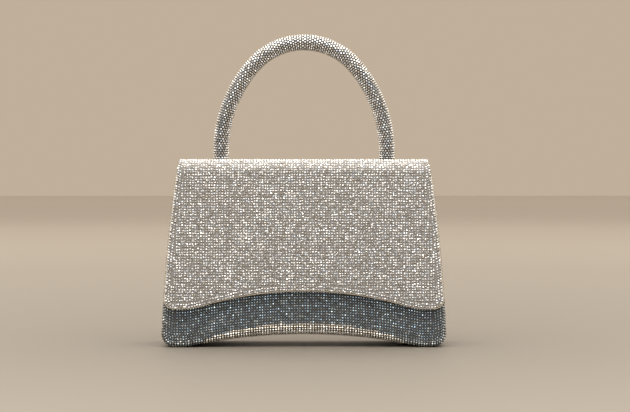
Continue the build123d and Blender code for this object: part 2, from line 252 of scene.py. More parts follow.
def wrap_outline():
    """Right half of the wrap's edge as x, s and outward direction, flap to rear rim."""
    flap = flap_half_outline(tangent_z)
    flap[:, 1] *= stretch
    s = np.arange(s_flap_top + outline_step, s_back_top, outline_step)
    z = wrap_profile(s)[1]
    x = half_width(z) - flap_inset
    over = np.stack([x, s, np.ones_like(x), np.zeros_like(x)], axis=1)
    return np.vstack([flap, over])


def panel_surface(x, z, side):
    """Points and outward directions on the body's front (side -1) or back (side 1) face."""
    y = front_y(z) if side < 0 else back_y(z)
    points = np.stack([x, y, z], axis=-1)
    out = np.zeros_like(points)
    out[..., 1] = side * cos(lean)
    out[..., 2] = sin(lean)
    return points, out


def lengths_along(rows, dims=2):
    """Arc length from the first row to each row, over their first columns."""
    steps = np.linalg.norm(np.diff(rows[:, :dims], axis=0), axis=1)
    return np.concatenate([[0], np.cumsum(steps)])


def resample(rows, spacing, start, dims=2):
    """Rows interpolated at equal steps of arc length."""
    length = lengths_along(rows, dims)
    places = np.arange(start, length[-1], spacing)
    return np.stack([np.interp(places, length, column) for column in rows.T], axis=1)


def depth_inside(points, outline):
    """Distance of points from an outline, positive inside it."""
    offset = points[:, None, :] - outline[None, :, :2]
    nearest = np.argmin((offset**2).sum(axis=2), axis=1)
    rows = np.arange(len(points))
    return -(offset[rows, nearest] * outline[nearest, 2:4]).sum(axis=1)


def mirrored(points):
    """Points and their mirror images across X = 0, where x is the first column."""
    image = points.copy()
    image[:, 0] *= -1
    return np.vstack([points, image])


def both_halves(rows, signs):
    """Rows from the left end to the right end, made from those of the right half."""
    return np.vstack([rows[:0:-1] * signs, rows])


# ---- meshes ----
def add_mesh(name, points, faces, material, smooth=True):
    """A mesh object from points in millimetres."""
    mesh = bpy.data.meshes.new(name)
    mesh.from_pydata((np.asarray(points) * MM).tolist(), [], faces)
    mesh.polygons.foreach_set("use_smooth", [smooth] * len(mesh.polygons))
    mesh.materials.append(material)
    mesh.update()
    piece = bpy.data.objects.new(name, mesh)
    bpy.context.scene.collection.objects.link(piece)
    return piece


def grid_faces(rows, columns, start=0, flip=False, closed=False):
    """Quads of a grid of points stored row by row."""
    faces = []
    last = columns if closed else columns - 1
    for row in range(rows - 1):
        for column in range(last):
            a = start + row * columns + column
            b = start + row * columns + (column + 1) % columns
            quad = (a, b, b + columns, a + columns)
            faces.append(quad[::-1] if flip else quad)
    return faces


def oriented(points, out):
    """The grid with its faces wound to look along the outward directions."""
    face = np.cross(points[1, 0] - points[0, 0], points[0, 1] - points[0, 0])
    if np.dot(face, out[0, 0]) > 0:
        return points[::-1], out[::-1]
    return points, out


def shade_by_angle(piece):
    """Smooth shading with sharp edges above an angle."""
    piece.data.set_sharp_from_angle(angle=radians(35))


def add_slab(name, sheet, low, high, material):
    """Closed sheet of cloth over a grid of surface points, between two depths below it."""
    points, out = oriented(*sheet)
    rows, columns = points.shape[:2]
    upper = (points - out * low).reshape(-1, 3)
    lower = (points - out * high).reshape(-1, 3)
    count = rows * columns
    faces = grid_faces(rows, columns)
    faces += grid_faces(rows, columns, count, flip=True)
    ring = list(range(columns))
    ring += [row * columns + columns - 1 for row in range(1, rows)]
    ring += [(rows - 1) * columns + column for column in range(columns - 2, -1, -1)]
    ring += [row * columns for row in range(rows - 2, 0, -1)]
    for a, b in zip(ring, ring[1:] + ring[:1]):
        faces.append((b, a, count + a, count + b))
    piece = add_mesh(name, np.vstack([upper, lower]), faces, material)
    shade_by_angle(piece)
    return piece


def add_cloth(name, sheet, material):
    """Mesh cloth that the stones are set on."""
    return add_slab(name, sheet, cloth_depth, cloth_back, material)


def add_lining(name, sheet):
    """Lining cloth on the inside of a board."""
    return add_slab(name, sheet, lining_low, lining_high, twill)


def stone_template(share):
    """Points and faces of a flat-backed stone of width 1 and height 1; share is its table's width."""
    step = 2 * pi / stone_sides
    ring = np.arange(stone_sides) * step
    girdle = np.stack([np.cos(ring) / 2, np.sin(ring) / 2, 0 * ring], axis=1)
    turned = ring + step / 2
    table = np.stack([np.cos(turned) * share / 2, np.sin(turned) * share / 2, 1 + 0 * ring], axis=1)
    faces = []
    for i in range(stone_sides):
        j = (i + 1) % stone_sides
        faces.append((i, j, stone_sides + i))
        faces.append((j, stone_sides + j, stone_sides + i))
    faces.append(tuple(range(stone_sides, 2 * stone_sides)))
    faces.append(tuple(range(stone_sides - 1, -1, -1)))
    return np.vstack([girdle, table]), faces


def add_stones(
    name, centres, out, finishes, seed, size=stone_size, tilt=0.07, shift=0.05, share=table_share
):
    """Stones at surface points, each turned, tipped, shifted and sized a little at random."""
    rng = np.random.default_rng(seed)
    count = len(centres)
    template, template_faces = stone_template(share)
    across = np.cross(out, np.array([0.0, 0.31, 0.95]))
    across[np.linalg.norm(across, axis=1) < 0.2] = (1.0, 0.0, 0.0)
    across /= np.linalg.norm(across, axis=1)[:, None]
    along = np.cross(out, across)
    lean_by = rng.normal(0, tilt, (count, 2))
    slide = rng.normal(0, shift, (count, 2))
    spin = rng.uniform(0, 2 * pi, count)
    scale = size * rng.uniform(0.96, 1.0, count)
    centres = centres - out * stone_rise + across * slide[:, :1] + along * slide[:, 1:]
    up = out + across * lean_by[:, :1] + along * lean_by[:, 1:]
    up /= np.linalg.norm(up, axis=1)[:, None]
    first = across * np.cos(spin)[:, None] + along * np.sin(spin)[:, None]
    first -= up * (first * up).sum(axis=1)[:, None]
    first /= np.linalg.norm(first, axis=1)[:, None]
    second = np.cross(up, first)
    x, y, z = template.T
    points = centres[:, None, :] + scale[:, None, None] * (
        x[:, None] * first[:, None, :] + y[:, None] * second[:, None, :]
    )
    points = points + stone_rise * z[:, None] * up[:, None, :]
    faces = []
    for start in range(0, count * len(template), len(template)):
        faces += [tuple(start + i for i in face) for face in template_faces]
    piece = add_mesh(name, points.reshape(-1, 3), faces, finishes[0], smooth=False)
    piece.data.materials.append(finishes[1])
    finish_index = np.zeros(len(template_faces), int)
    finish_index[table_face] = 1
    piece.data.polygons.foreach_set("material_index", np.tile(finish_index, count).tolist())
    return piece


def settle(piece, body, slot, *nodes):
    """The piece rides on a body and stands for CAD nodes, which it hides; the slot is not used."""
    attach(piece, body)
    if nodes:
        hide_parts(*nodes)


def cut_round_holes(piece, centres, axis, radius, depth=12.0):
    """Round holes through a piece, centred on points, along a direction."""
    for centre in centres:
        bpy.ops.mesh.primitive_cylinder_add(
            vertices=hole_sides, radius=radius * MM, depth=depth * MM, location=Vector(centre) * MM
        )
        cutter = bpy.context.object
        cutter.rotation_mode = "QUATERNION"
        cutter.rotation_quaternion = Vector((0, 0, 1)).rotation_difference(Vector(axis))
        hole = piece.modifiers.new("hole", "BOOLEAN")
        hole.operation = "DIFFERENCE"
        hole.solver = "EXACT"
        hole.object = cutter
        bpy.context.view_layer.update()
        evaluated = piece.evaluated_get(bpy.context.evaluated_depsgraph_get())
        cut = bpy.data.meshes.new_from_object(evaluated)
        piece.modifiers.clear()
        piece.data = cut
        bpy.data.objects.remove(cutter)


# ---- materials ----
def new_material(name, colour, roughness, metallic=0.0):
    """Material with plain values; returns it with its node tree and main shader."""
    material = bpy.data.materials.new(name)
    material.use_nodes = True
    shader = material.node_tree.nodes["Principled BSDF"]
    shader.inputs["Base Color"].default_value = (*colour, 1)
    shader.inputs["Roughness"].default_value = roughness
    shader.inputs["Metallic"].default_value = metallic
    material.diffuse_color = (*colour, 1)
    return material, material.node_tree, shader


def add_ramp(tree, factor, stops):
    """Colour ramp fed by a socket."""
    ramp = tree.nodes.new("ShaderNodeValToRGB")
    tree.links.new(factor, ramp.inputs["Fac"])
    while len(ramp.color_ramp.elements) < len(stops):
        ramp.color_ramp.elements.new(0.5)
    for element, (place, colour) in zip(ramp.color_ramp.elements, stops):
        element.position = place
        element.color = (*colour, 1)
    return ramp.outputs["Color"]


def stone_material(name, stops, roughness):
    """Foiled stones: each one takes its own shade from the ramp."""
    material, tree, shader = new_material(name, stops[len(stops) // 2][1], roughness, metallic=1.0)
    island = tree.nodes.new("ShaderNodeNewGeometry")
    colour = add_ramp(tree, island.outputs["Random Per Island"], stops)
    tree.links.new(colour, shader.inputs["Base Color"])
    return material


texture_kinds = {
    "NOISE": ("ShaderNodeTexNoise", "Fac", {"Detail": 4}),
    "CELLS": ("ShaderNodeTexVoronoi", "Distance", {}),
    "WAVE": ("ShaderNodeTexWave", "Fac", {"Distortion": 0.6}),
}


def textured(
    name, low, high, roughness, scale, bump, kind="NOISE", metallic=0.0, stretch_by=(1, 1, 1)
):
    """Material whose shade and relief follow one procedural texture."""
    material, tree, shader = new_material(name, high, roughness, metallic)
    place = tree.nodes.new("ShaderNodeTexCoord")
    mapping = tree.nodes.new("ShaderNodeMapping")
    mapping.inputs["Scale"].default_value = stretch_by
    tree.links.new(place.outputs["Object"], mapping.inputs["Vector"])
    node_kind, output, settings = texture_kinds[kind]
    texture = tree.nodes.new(node_kind)
    for socket, setting in {"Scale": scale, **settings}.items():
        texture.inputs[socket].default_value = setting
    if kind == "WAVE":
        texture.bands_direction = "DIAGONAL"
    value = texture.outputs[output]
    tree.links.new(mapping.outputs["Vector"], texture.inputs["Vector"])
    tree.links.new(add_ramp(tree, value, [(0.2, low), (0.8, high)]), shader.inputs["Base Color"])
    relief = tree.nodes.new("ShaderNodeBump")
    relief.inputs["Strength"].default_value = bump
    relief.inputs["Distance"].default_value = 0.0002
    tree.links.new(value, relief.inputs["Height"])
    tree.links.new(relief.outputs["Normal"], shader.inputs["Normal"])
    return material


def stone_finishes(name, tint, crown, table, table_tint=None):
    """Crown and table finishes of a group of stones: most stones are plain, some bluish or amber. The
    dark group is painted shade, the warm group painted reflection, and tables much brighter than their
    crowns are painted highlights and reflections.
    """
    cool, plain, warm = (0.93, 1.0, 1.09), (1, 1, 1), (1.08, 1.0, 0.88)
    hues = (warm, plain, plain, cool, plain, plain)
    places = (0.0, 0.22, 0.5, 0.72, 0.86, 1.0)
    finishes = []
    parts = (("crown", crown, 0.26, tint), ("table", table, 0.20, table_tint or tint))
    for part, shades, roughness, part_tint in parts:
        stops = [
            (place, tuple(min(shade * t * h, 1.0) for t, h in zip(part_tint, hue)))
            for place, shade, hue in zip(places, shades, hues)
        ]
        finishes.append(stone_material(f"{name}_{part}", stops, roughness))
    return finishes


silver_stones = stone_finishes(
    "silver_stone",
    (1.0, 0.965, 0.92),
    (0.34, 0.46, 0.57, 0.64, 0.75, 0.92),
    (0.34, 0.46, 0.58, 0.7, 0.85, 1.0),
)
# Painted highlight: the handle's tables are given much brighter shades than its crowns, a bright dot
# painted in each stone.
handle_finishes = stone_finishes(
    "handle_stone",
    (1.0, 0.95, 0.88),
    (0.30, 0.36, 0.42, 0.48, 0.58, 0.8),
    (0.8, 0.87, 0.92, 0.96, 1.0, 1.0),
)
# Painted reflection: these brighter, warmer stones fill a strip just above the front's arch, standing
# in for the warm lit table below reflected in the stones turned towards it.
painted_reflection_stones = stone_finishes(
    "painted_reflection_stone",
    (1.0, 0.92, 0.80),
    (0.44, 0.54, 0.64, 0.72, 0.82, 1.0),
    (0.6, 0.72, 0.84, 0.94, 1.0, 1.0),
)
# Painted shade: the body's front, base and sides take these stones, whose dark crowns stand in for the
# shade below the flap and the lid; their brighter, bluish tables are a painted reflection of the cool
# room in front.
painted_shade_stones = stone_finishes(
    "painted_shade_stone",
    (1.0, 0.99, 0.92),
    (0.11, 0.16, 0.21, 0.25, 0.31, 0.5),
    (0.34, 0.45, 0.56, 0.68, 0.80, 1.0),
    table_tint=(0.78, 0.98, 1.1),
)
silver_cloth = textured(
    "silver_mesh_cloth", (0.13, 0.116, 0.102), (0.23, 0.21, 0.185), 0.45, 2600, 0.5, "CELLS"
)
# Near-black mesh cloth: under the stones of the body's front, base and sides its darkness is painted
# shade; the handle's sleeve uses it too.
dark_cloth = textured(
    "dark_mesh_cloth", (0.022, 0.022, 0.023), (0.06, 0.058, 0.056), 0.55, 2600, 0.5, "CELLS"
)
twill = textured(
    "twill_lining", (0.17, 0.148, 0.13), (0.31, 0.272, 0.24), 0.62, 620, 0.6, "WAVE",
    stretch_by=(1, 0.6, 1),
)
grain_leather = textured(
    "grain_leather", (0.12, 0.102, 0.09), (0.22, 0.188, 0.166), 0.48, 900, 0.7, "CELLS"
)
champagne = textured(
    "champagne_edge", (0.56, 0.48, 0.37), (0.76, 0.66, 0.53), 0.36, 700, 0.25, metallic=0.8
)
thread = textured("waxed_thread", (0.42, 0.37, 0.32), (0.58, 0.52, 0.45), 0.6, 3000, 0.5)
grey_board = textured("grey_board", (0.26, 0.25, 0.23), (0.36, 0.35, 0.32), 0.85, 400, 0.4)
steel = textured("steel", (0.50, 0.50, 0.49), (0.62, 0.61, 0.60), 0.30, 240, 0.12, metallic=1.0)
nickel = textured(
    "satin_nickel", (0.60, 0.58, 0.54), (0.72, 0.70, 0.66), 0.24, 300, 0.10, metallic=1.0
)
magnet_grey = textured(
    "coated_magnet", (0.10, 0.10, 0.11), (0.16, 0.16, 0.17), 0.42, 320, 0.2, metallic=0.6
)
brass = textured("turned_brass", (0.62, 0.47, 0.20), (0.74, 0.58, 0.28), 0.32, 300, 0.12, metallic=1.0)

# The CAD nodes that no piece stands for are shown themselves.
boards = ("front", "back", "base", "left_gusset", "right_gusset", "lid", "flap")
finish_of_node = {f"{board}_board": grey_board for board in boards}
finish_of_node |= dict.fromkeys(("snap_socket_cap", "snap_socket_base", "snap_stud"), nickel)
finish_of_node |= dict.fromkeys(("handle_core", "handle_washers", "handle_screws"), steel)
finish_of_node |= {"snap_magnet": magnet_grey, "handle_end_plugs": brass}
for node, finish in finish_of_node.items():
    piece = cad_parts[node]
    piece.data.materials.clear()
    piece.data.materials.append(finish)


# ---- flap, bends and lid ----
def wrap_stone_places():
    """X and s of every stone on the flap, the bends and the lid."""
    outline = wrap_outline()
    rows = []
    for inset in edge_rows:
        line = np.hstack([outline[:, :2] - outline[:, 2:] * inset, outline[:, 2:]])
        rows.append(resample(line, stone_pitch, stone_pitch / 2)[:, :2])
    columns = np.arange(stone_pitch / 2, half_width_foot, stone_pitch)
    lines = np.arange(s_back_top - stone_pitch / 2, flap_lobe_z, -stone_pitch)
    grid = np.stack(np.meshgrid(columns, lines), axis=-1).reshape(-1, 2)
    grid = grid[depth_inside(grid, outline) > edge_rows[-1] + edge_gap]
    return mirrored(np.vstack(rows + [grid]))


def between(places, low, high):
    """Places whose s lies between two values."""
    return places[(places[:, 1] > low) & (places[:, 1] < high)]


def strip_grid(low, high, rows=bend_rows):
    """Grid over the wrap between two values of s, its sides clear of the edge binding."""
    s = np.linspace(low, high, rows)
    half = half_width(wrap_profile(s)[1]) - flap_inset - edge_stack
    x = np.outer(half, np.linspace(-1, 1, wrap_columns))
    return wrap_surface(x, np.repeat(s[:, None], wrap_columns, axis=1))


def upright_grid(outline, inset, top, rows, narrowing=0.0):
    """X, Z of a panel's grid: its columns rise from the outline's lower edge to a height."""
    base = outline[:, :2] - outline[:, 2:] * inset
    low_end = int(np.argmax(outline[:, 2] > 0.9995))
    foot = resample(base[: low_end + 1], foot_step, 0.0)
    foot = both_halves(np.vstack([foot, base[low_end]]), (-1, 1))
    share = foot[:, 0] / (half_width(foot[:, 1]) - narrowing - inset)
    rise = np.linspace(0, 1, rows)[:, None]
    z = foot[:, 1] + rise * (top - foot[:, 1])
    return share * (half_width(z) - narrowing - inset), z


flap_outline = flap_half_outline(tangent_z)
flap_top_z = bend_z - bend_clearance


def flap_sheet():
    """Grid over the flap's outer face."""
    x, z = upright_grid(flap_outline, edge_stack, flap_top_z, flap_rows, flap_inset)
    return wrap_surface(x, z * stretch)


places = wrap_stone_places()
lid_end = s_lid_back - bend_clearance
flap_stones_end = (flap_top_z - flap_top_gap) * stretch
wrap_parts = {
    "flap": (0, flap_stones_end, 0.17),
    "front_bend": (flap_stones_end, s_lid_front, 0.08),
    "lid": (s_lid_front, lid_end, 0.17),
    "rear_bend": (lid_end, s_back_top, 0.08),
}
leg_centres = [(-handle_half_span, handle_y, height), (handle_half_span, handle_y, height)]
bend_stones = {}
for seed, (part, (low, high, tilt)) in enumerate(wrap_parts.items()):
    spots = between(places, low, high)
    centres, out = wrap_surface(spots[:, 0], spots[:, 1])
    if part == "lid":
        from_leg = np.hypot(np.abs(centres[:, 0]) - handle_half_span, centres[:, 1] - handle_y)
        clear = from_leg > handle_radius + leg_gap
        centres, out = centres[clear], out[clear]
    stones = add_stones(f"{part}_stones", centres, out, silver_stones, 10 + seed, tilt=tilt, shift=0.16)
    if part.endswith("bend"):
        bend_stones[part] = stones
    else:
        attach(stones, part)

flap_cloth = add_cloth("flap_mesh_cloth", flap_sheet(), silver_cloth)
settle(flap_cloth, "flap", "crystals", "flap_crystal_skin")
lid_sheet = strip_grid(s_lid_front + seam, lid_end, lid_rows)
lid_cloth = add_cloth("lid_mesh_cloth", lid_sheet, silver_cloth)
cut_round_holes(lid_cloth, leg_centres, (0, 0, 1), core_radius + hole_gap)
settle(lid_cloth, "lid", "crystals", "lid_crystal_skin")

# The two bends' stones, cloth and linings are made in place and ride on no body; the table also lists
# the bodies on either side and the ends of the run that bends, which the loop does not use.
front_start = (0, front_bend_y * MM, height * MM)
front_end = (0, float(wrap_profile(s_flap_top)[0]) * MM, tangent_z * MM)
rear_start = (0, float(wrap_profile(s_back_top)[0]) * MM, tangent_z * MM)
rear_end = (0, back_bend_y * MM, height * MM)
front_cloth_start = flap_top_z * stretch + seam
bends = {
    "front_bend": ("lid", "flap", front_start, front_end, front_cloth_start, s_flap_top, s_lid_front),
    "rear_bend": ("bag", "lid", rear_start, rear_end, lid_end + seam, s_lid_back, s_back_top),
}
for bend, (fixed, moving, start, end, cloth_start, lining_start, strip_end) in bends.items():
    cloth = add_cloth(f"{bend}_mesh_cloth", strip_grid(cloth_start, strip_end), silver_cloth)
    lining_strip = strip_grid(lining_start, strip_end)
    lining = add_slab(f"{bend}_lining_cloth", lining_strip, bend_lining_low, bend_lining_high, twill)
    for piece in (bend_stones[bend], cloth, lining):
        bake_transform(piece)
    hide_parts(f"{bend}_crystal_skin")
    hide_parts(f"{bend}_lining")

# ---- body walls ----
body_outline = body_half_outline(height)
# Radius of the turned edge of front and back, by the distance from mid arch along the outline.
radius_at = {0: 7.3, 34: 6.9, 72: 3.3, 100: 3.3, 130: 4.3}
turn_radii = np.interp(lengths_along(body_outline), list(radius_at), list(radius_at.values()))
body_rows = np.hstack([body_outline, turn_radii[:, None]])
skin_top_z = rim_z - rim_binding_depth - seam


def turned(outline, radii, along, side):
    """Points where the panel turns into the sides and base, at a distance along the turn."""
    flat = turn_start - radii
    angle = np.clip((along - flat) / radii, 0, pi / 2)
    inset = np.where(along < flat, turn_start - along, radii * (1 - np.sin(angle)))
    back = radii * (1 - np.cos(angle))
    xz = outline[:, :2] - outline[:, 2:] * inset[:, None]
    y = front_y(xz[:, 1]) + back if side < 0 else back_y(xz[:, 1]) - back
    out_x, out_z = outline[:, 2] * np.sin(angle), outline[:, 3] * np.sin(angle)
    out = np.stack([out_x, side * np.cos(angle), out_z], axis=1)
    return np.stack([xz[:, 0], y, xz[:, 1]], axis=1), out


def panel_stone_places(side, top):
    """Stones of the front or back: a grid inside rows that follow the outline and turn round it."""
    points, outs = [], []
    longest_turn = turn_start - turn_radii + turn_radii * pi / 2
    for along in np.arange(stone_pitch / 2, longest_turn.max(), stone_pitch):
        line, out = turned(body_outline, turn_radii, along, side)
        rows = np.hstack([line, out, longest_turn[:, None]])
        rows = resample(rows, stone_pitch, stone_pitch / 2, dims=3)
        rows = rows[(rows[:, 6] > along + 0.2 * stone_pitch) & (rows[:, 2] < top)]
        points.append(rows[:, :3])
        outs.append(rows[:, 3:6])
    columns = np.arange(stone_pitch / 2, half_width_foot, stone_pitch)
    level = np.interp(columns, body_outline[:, 0], body_outline[:, 1], right=0)
    if side < 0:
        lines = np.arange(turn_start + stone_pitch / 2, height, stone_pitch)[:, None] + level
    else:
        first = tangent_z - stone_pitch / 2 / stretch
        lines = np.arange(first, 0, -stone_pitch / stretch)[:, None] + 0 * level
    grid = np.stack([np.broadcast_to(columns, lines.shape), lines], axis=-1).reshape(-1, 2)
    grid = grid[(grid[:, 1] < top) & (grid[:, 1] > 0)]
    grid = grid[depth_inside(grid, body_outline) > turn_start + 0.3 * stone_pitch]
    if side < 0:
        grid = grid[np.hypot(grid[:, 0], grid[:, 1] - snap_z) > snap_radius + snap_gap]
    flat_points, flat_out = panel_surface(grid[:, 0], grid[:, 1], side)
    return mirrored(np.vstack(points + [flat_points])), mirrored(np.vstack(outs + [flat_out]))


def turned_sheet(side, top):
    """Grid over the turn of a panel, from the left rim round the base to the right rim."""
    keep = body_outline[:, 1] < top
    keep[: len(keep) // 3] = True
    outline, radii = body_outline[keep][::2], turn_radii[keep][::2]
    length = turn_start - radii + radii * pi / 2
    rows, outs = [], []
    for share in np.linspace(0, 1, turn_rows):
        points, out = turned(outline, radii, share * length, side)
        rows.append(both_halves(points, (-1, 1, 1)))
        outs.append(both_halves(out, (-1, 1, 1)))
    return np.array(rows), np.array(outs)


def panel_sheet(side, inset, top):
    """Grid over the flat of the body's front or back."""
    x, z = upright_grid(body_outline, inset, top, panel_rows)
    return panel_surface(x, z, side)


def side_row(z):
    """The outline's row where the right side passes a height."""
    side = body_rows[body_rows[:, 0] > gusset_seam_x]
    return np.array([[np.interp(z, side[:, 1], column) for column in side.T]])


def base_band():
    """Rows of the base's outline, from mid arch up to the seam on the side."""
    x, z = body_rows[:, 0], body_rows[:, 1]
    low = (z < 2 * gusset_seam_z) & ((x < gusset_seam_x) | (z < gusset_seam_z - seam))
    return np.vstack([body_rows[low], side_row(gusset_seam_z - seam)])


def side_band(top):
    """Rows of the right side's outline, from the seam to a height."""
    x, z = body_rows[:, 0], body_rows[:, 1]
    high = (x > gusset_seam_x) & (z > gusset_seam_z) & (z < top)
    return np.vstack([side_row(gusset_seam_z), body_rows[high], side_row(top)])


def band_sheet(rows, mirror=1, both_sides=False, inset=None):
    """Grid over the base or a side, between the front and back turns or at an inset from the faces."""
    if both_sides:
        rows = both_halves(rows, (-1, 1, -1, 1, 1))
    x, z, out_x, out_z, radii = (rows * (mirror, 1, mirror, 1, 1)).T
    edge = radii if inset is None else inset
    share = np.linspace(0, 1, band_rows)[:, None]
    y = (front_y(z) + edge) + share * (back_y(z) - front_y(z) - 2 * edge)
    points = np.stack([np.broadcast_to(x, y.shape), y, np.broadcast_to(z, y.shape)], axis=-1)
    out = np.zeros_like(points)
    out[..., 0] = out_x
    out[..., 2] = out_z
    return points, out


def band_stone_places(rows):
    """Stones on the base and a side: rows along the outline, counted from mid depth."""
    points, outs = [], []
    for x, z, out_x, out_z, radius in resample(rows, stone_pitch, stone_pitch / 2):
        half = (back_y(z) - front_y(z)) / 2 - radius - 0.35 * stone_pitch
        offsets = np.arange(stone_pitch / 2, half, stone_pitch)
        offsets = np.concatenate([-offsets, offsets])
        for y in body_mid_y + offsets:
            points.append((x, y, z))
            outs.append((out_x, 0.0, out_z))
    return np.array(points), np.array(outs)


front_points, front_out = panel_stone_places(-1, skin_top_z - rim_gap)
# A strip of the front's stones just above the arch takes the warm finish, a painted reflection of the
# table below.
arch_line = body_outline[: int(np.argmax(body_outline[:, 0] > foot_inner_x))]
stone_x = np.abs(front_points[:, 0])
above_arch = front_points[:, 2] - np.interp(stone_x, arch_line[:, 0], arch_line[:, 1])
strip_top = arch_strip_height * np.sqrt(np.clip(1 - (stone_x / arch_strip_half) ** 2, 0, 1))
under = (above_arch < strip_top) & (stone_x < arch_strip_half)
# The front's stones are darkened as painted shade, except a strip above the arch.
stones = add_stones("front_stones", front_points[~under], front_out[~under], painted_shade_stones, 21)
settle(stones, "bag", "dark_crystals")
stones = add_stones("front_arch_stones", front_points[under], front_out[under], painted_reflection_stones, 20)
settle(stones, "bag", "handle_crystals")
back_points, back_out = panel_stone_places(1, tangent_z - back_gap)
stones = add_stones("back_stones", back_points, back_out, silver_stones, 22, tilt=0.10)
settle(stones, "bag", "crystals")
wall_points, wall_out = band_stone_places(body_rows[body_rows[:, 1] < skin_top_z - rim_gap])
on_base = (wall_points[:, 0] < gusset_seam_x) | (wall_points[:, 2] < gusset_seam_z)
base_points, base_out = mirrored(wall_points[on_base]), mirrored(wall_out[on_base])
# The base's stones are darkened as painted shade.
stones = add_stones("base_stones", base_points, base_out, painted_shade_stones, 23)
settle(stones, "bag", "dark_crystals")
sides = {"left": -1, "right": 1}
# The sides' stones are darkened as painted shade.
for seed, (name, mirror) in enumerate(sides.items()):
    flip = np.array([mirror, 1, 1])
    side_points, side_out = wall_points[~on_base] * flip, wall_out[~on_base] * flip
    stones = add_stones(f"{name}_gusset_stones", side_points, side_out, painted_shade_stones, 24 + seed)
    settle(stones, "bag", "dark_crystals")

snap_centre = (0, front_y(snap_z), snap_z)
snap_axis = (0, -cos(lean), sin(lean))
wall_sheets = {
    "front_edge": turned_sheet(-1, skin_top_z),
    "front": panel_sheet(-1, turn_start, skin_top_z),
    "back_edge": turned_sheet(1, bend_z - seam),
    "back": panel_sheet(1, turn_start, bend_z - seam),
    "base": band_sheet(base_band(), both_sides=True),
    "left_gusset": band_sheet(side_band(skin_top_z), sides["left"]),
    "right_gusset": band_sheet(side_band(skin_top_z), sides["right"]),
}
for wall, sheet in wall_sheets.items():
    # The back keeps silver cloth; the cloth of the front, base and sides is dark as painted shade.
    bright = wall.startswith("back")
    cloth = add_cloth(f"{wall}_mesh_cloth", sheet, silver_cloth if bright else dark_cloth)
    if wall == "front":
        cut_round_holes(cloth, [snap_centre], snap_axis, snap_radius + hole_gap)
    nodes = () if wall.endswith("edge") else (f"{wall}_crystal_skin",)
    settle(cloth, "bag", "crystals" if bright else "dark_crystals", *nodes)

# ---- linings ----
lining_top_z = rim_z - rim_fold - seam
flap_lining_cloth = add_lining("flap_lining_cloth", flap_sheet())
cut_round_holes(flap_lining_cloth, [snap_centre], snap_axis, snap_radius + hole_gap)
settle(flap_lining_cloth, "flap", "lining", "flap_lining")
lid_lining_cloth = add_lining("lid_lining_cloth", lid_sheet)
cut_round_holes(lid_lining_cloth, leg_centres, (0, 0, 1), washer_hole_radius, depth=14.0)
settle(lid_lining_cloth, "lid", "lining", "lid_lining")
bag_linings = {
    "front": panel_sheet(-1, lining_edge, lining_top_z),
    "back": panel_sheet(1, lining_edge, bend_z - seam),
    "base": band_sheet(base_band(), both_sides=True, inset=panel_seam),
    "left_gusset": band_sheet(side_band(lining_top_z), sides["left"], inset=panel_seam),
    "right_gusset": band_sheet(side_band(lining_top_z), sides["right"], inset=panel_seam),
}
for panel, sheet in bag_linings.items():
    settle(add_lining(f"{panel}_lining_cloth", sheet), "bag", "lining", f"{panel}_lining")


# ---- bindings ----
def add_sweep(name, rings, material, closed_path=False):
    """Closed profile swept through rings of points."""
    count, size = rings.shape[:2]
    faces = grid_faces(count, size, closed=True)
    if not closed_path:
        faces.append(tuple(range(size - 1, -1, -1)))
        faces.append(tuple(range((count - 1) * size, count * size)))
    piece = add_mesh(name, rings.reshape(-1, 3), faces, material)
    shade_by_angle(piece)
    return piece


# Sections of the two bindings: inset from the edge, and depth below the wrap or the rim.
edge_profile = [
    (0.10, 1.10), (0.0, 1.40), (-0.06, 2.20), (0.0, 3.20), (-0.06, 4.20), (0.0, 4.75),
    (0.12, 4.98), (0.68, 4.98), (0.80, 4.85), (0.80, 1.25), (0.68, 1.02), (0.30, 1.00),
]


def edge_rings(outline):
    """Rings of the edge binding's profile along a run of the wrap's edge."""
    rings = []
    for inset, depth in edge_profile:
        line = outline[:, :2] - outline[:, 2:] * inset
        points, out = wrap_surface(line[:, 0], line[:, 1])
        rings.append(points - out * depth)
    return np.array(rings).transpose(1, 0, 2)


wrap_edge = wrap_outline()
flap_edge = wrap_edge[wrap_edge[:, 1] < flap_top_z * stretch]
flap_rings = both_halves(edge_rings(flap_edge), (-1, 1, 1))
flap_binding = add_sweep("flap_edge_strip", flap_rings, champagne)
settle(flap_binding, "flap", "edge_binding", "flap_edge_binding")
lid_edge = between(wrap_edge, s_lid_front + seam, lid_end)
for name, mirror in sides.items():
    lid_rings = edge_rings(lid_edge) * (mirror, 1, 1)
    lid_binding = add_sweep(f"lid_{name}_edge_strip", lid_rings[::mirror], champagne)
    settle(lid_binding, "lid", "edge_binding", "lid_edge_binding")

rim_profile = [
    (rim_binding_inset, rim_binding_depth),
    (rim_binding_inset, 1.3), (0.85, 0.5), (1.6, 0.05), (3.2, 0.0), (4.9, 0.05), (5.55, 0.45),
    (5.8, 1.2), (5.8, rim_binding_depth),
    (5.1, rim_binding_depth), (5.1, rim_fold),
    (2.03, rim_fold), (2.03, rim_binding_depth),
]


def rim_path(inset, depth):
    """Rim's path, inset from the body's faces and below the rim: left side, front, right side."""
    z = rim_z - depth
    radius = max(panel_edge_radius - inset, 0.4)
    wide = half_width(z) - inset
    near = front_y(z) + inset
    far = back_y(z) - panel_seam - seam
    side_y = np.linspace(far, near + radius, rim_side_steps)
    left = np.stack([0 * side_y - wide, side_y], axis=1)
    turn = np.linspace(pi, 1.5 * pi, rim_corner_steps)[1:-1]
    corner = (radius - wide, near + radius)
    round_left = corner + radius * np.stack([np.cos(turn), np.sin(turn)], axis=1)
    front_x = np.linspace(-(wide - radius), wide - radius, rim_front_steps)
    across = np.stack([front_x, 0 * front_x + near], axis=1)
    right = (np.vstack([left, round_left]) * (-1, 1))[::-1]
    path = np.vstack([left, round_left, across, right])
    return np.hstack([path, np.full((len(path), 1), z)])


rim_rings = np.array([rim_path(*place) for place in rim_profile]).transpose(1, 0, 2)
rim_strip = add_sweep("rim_leather_strip", rim_rings[::-1], grain_leather)
settle(rim_strip, "bag", "rim_leather", "rim_binding")


